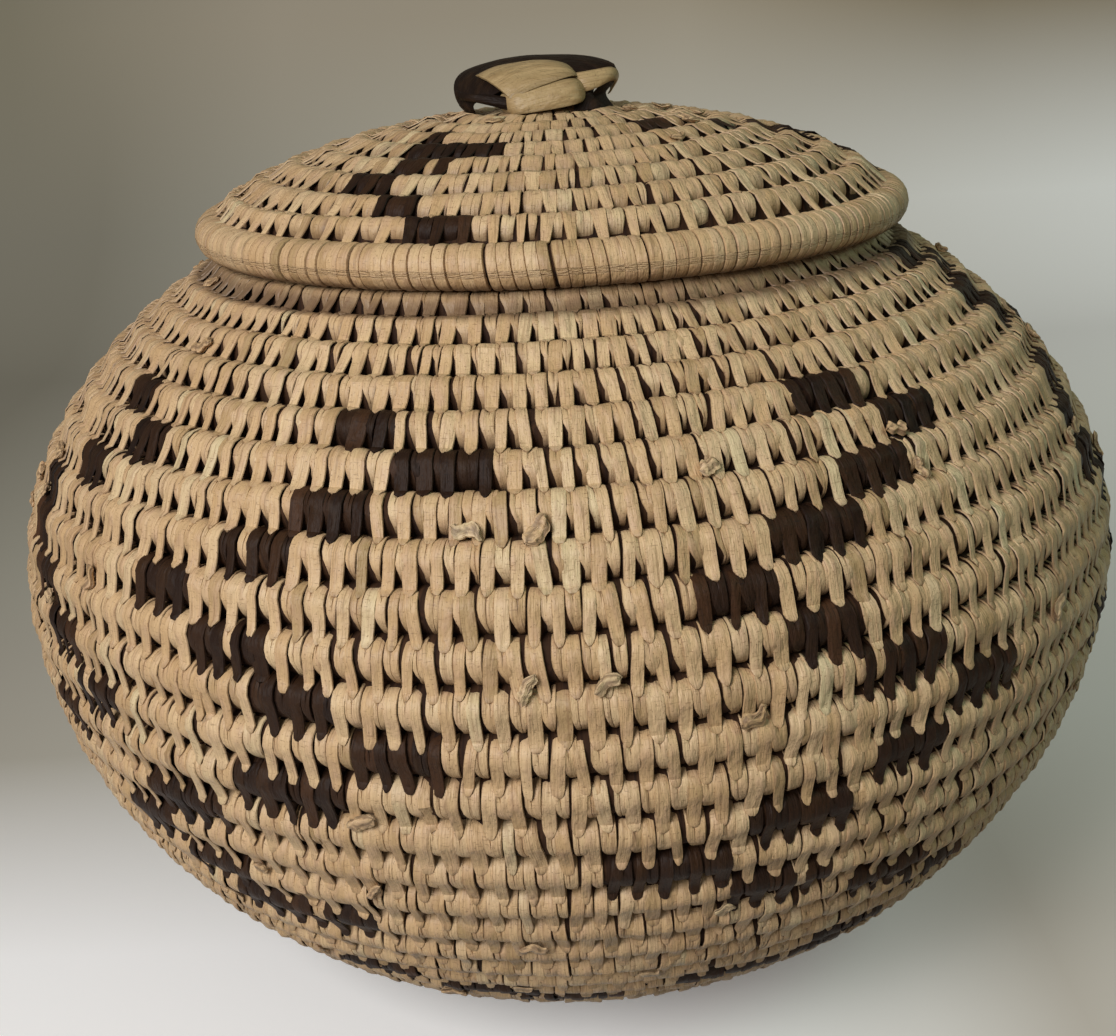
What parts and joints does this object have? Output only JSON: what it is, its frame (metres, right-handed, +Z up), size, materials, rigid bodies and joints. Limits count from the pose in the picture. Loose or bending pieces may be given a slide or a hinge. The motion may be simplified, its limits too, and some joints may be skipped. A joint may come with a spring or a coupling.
{
  "type": "lidded coiled basket",
  "caption": "Round-bellied coiled basket with a domed lift-off lid and a plaited leaf knob, stitched from palm leaf over a grass core, for keeping or serving dry or liquid food.",
  "frame": {"origin": "on the ground at the middle of the base", "axes": "+Z up, the axis of the round basket; -Y towards the side shown in the picture"},
  "size_m": [0.3199, 0.3199, 0.2612],
  "materials": {
    "natural_leaf": "satin",
    "dyed_leaf": "satin"
  },
  "bodies": {
    "basket": {"body_coil_start": "natural_leaf", "body_coil_tip": "natural_leaf", "body_round_01": "natural_leaf", "body_round_02": "natural_leaf", "body_round_03": "natural_leaf", "body_round_04": "natural_leaf", "body_round_05": "natural_leaf", "body_round_06": "natural_leaf", "body_round_07": "natural_leaf", "body_round_08": "natural_leaf", "body_round_09": "natural_leaf", "body_round_10": "natural_leaf", "body_round_11": "natural_leaf", "body_round_12": "natural_leaf", "body_round_13": "natural_leaf", "body_round_14": "natural_leaf", "body_round_15": "natural_leaf", "body_round_16": "natural_leaf", "body_round_17": "natural_leaf", "body_round_18": "natural_leaf", "body_round_19": "natural_leaf", "body_round_20": "natural_leaf", "body_round_21": "natural_leaf", "body_round_22": "natural_leaf", "body_round_23": "natural_leaf", "body_round_24": "natural_leaf", "body_round_25": "natural_leaf", "body_round_26": "natural_leaf", "body_round_27": "natural_leaf", "body_round_28": "natural_leaf", "body_round_29": "natural_leaf", "body_round_30": "natural_leaf", "body_round_31": "natural_leaf", "body_round_32": "natural_leaf", "body_round_33": "natural_leaf", "body_round_34": "natural_leaf", "mouth_roll": "natural_leaf"},
    "lid": {"knob_cross_strip_left": "dyed_leaf", "knob_cross_strip_right": "dyed_leaf", "knob_strip_back": "dyed_leaf", "knob_strip_front": "natural_leaf", "knob_strip_middle": "natural_leaf", "lid_coil_start": "natural_leaf", "lid_coil_tip": "natural_leaf", "lid_collar_1": "natural_leaf", "lid_collar_2": "natural_leaf", "lid_rim_roll": "natural_leaf", "lid_round_01": "natural_leaf", "lid_round_02": "natural_leaf", "lid_round_03": "natural_leaf", "lid_round_04": "natural_leaf", "lid_round_05": "natural_leaf", "lid_round_06": "natural_leaf", "lid_round_07": "natural_leaf", "lid_round_08": "natural_leaf"}
  },
  "joints": [
    {"name": "lid_lift", "type": "slide", "parent": "basket", "child": "lid", "axis": [0, 0, 1], "range_m": [0, 0.12]}
  ]
}
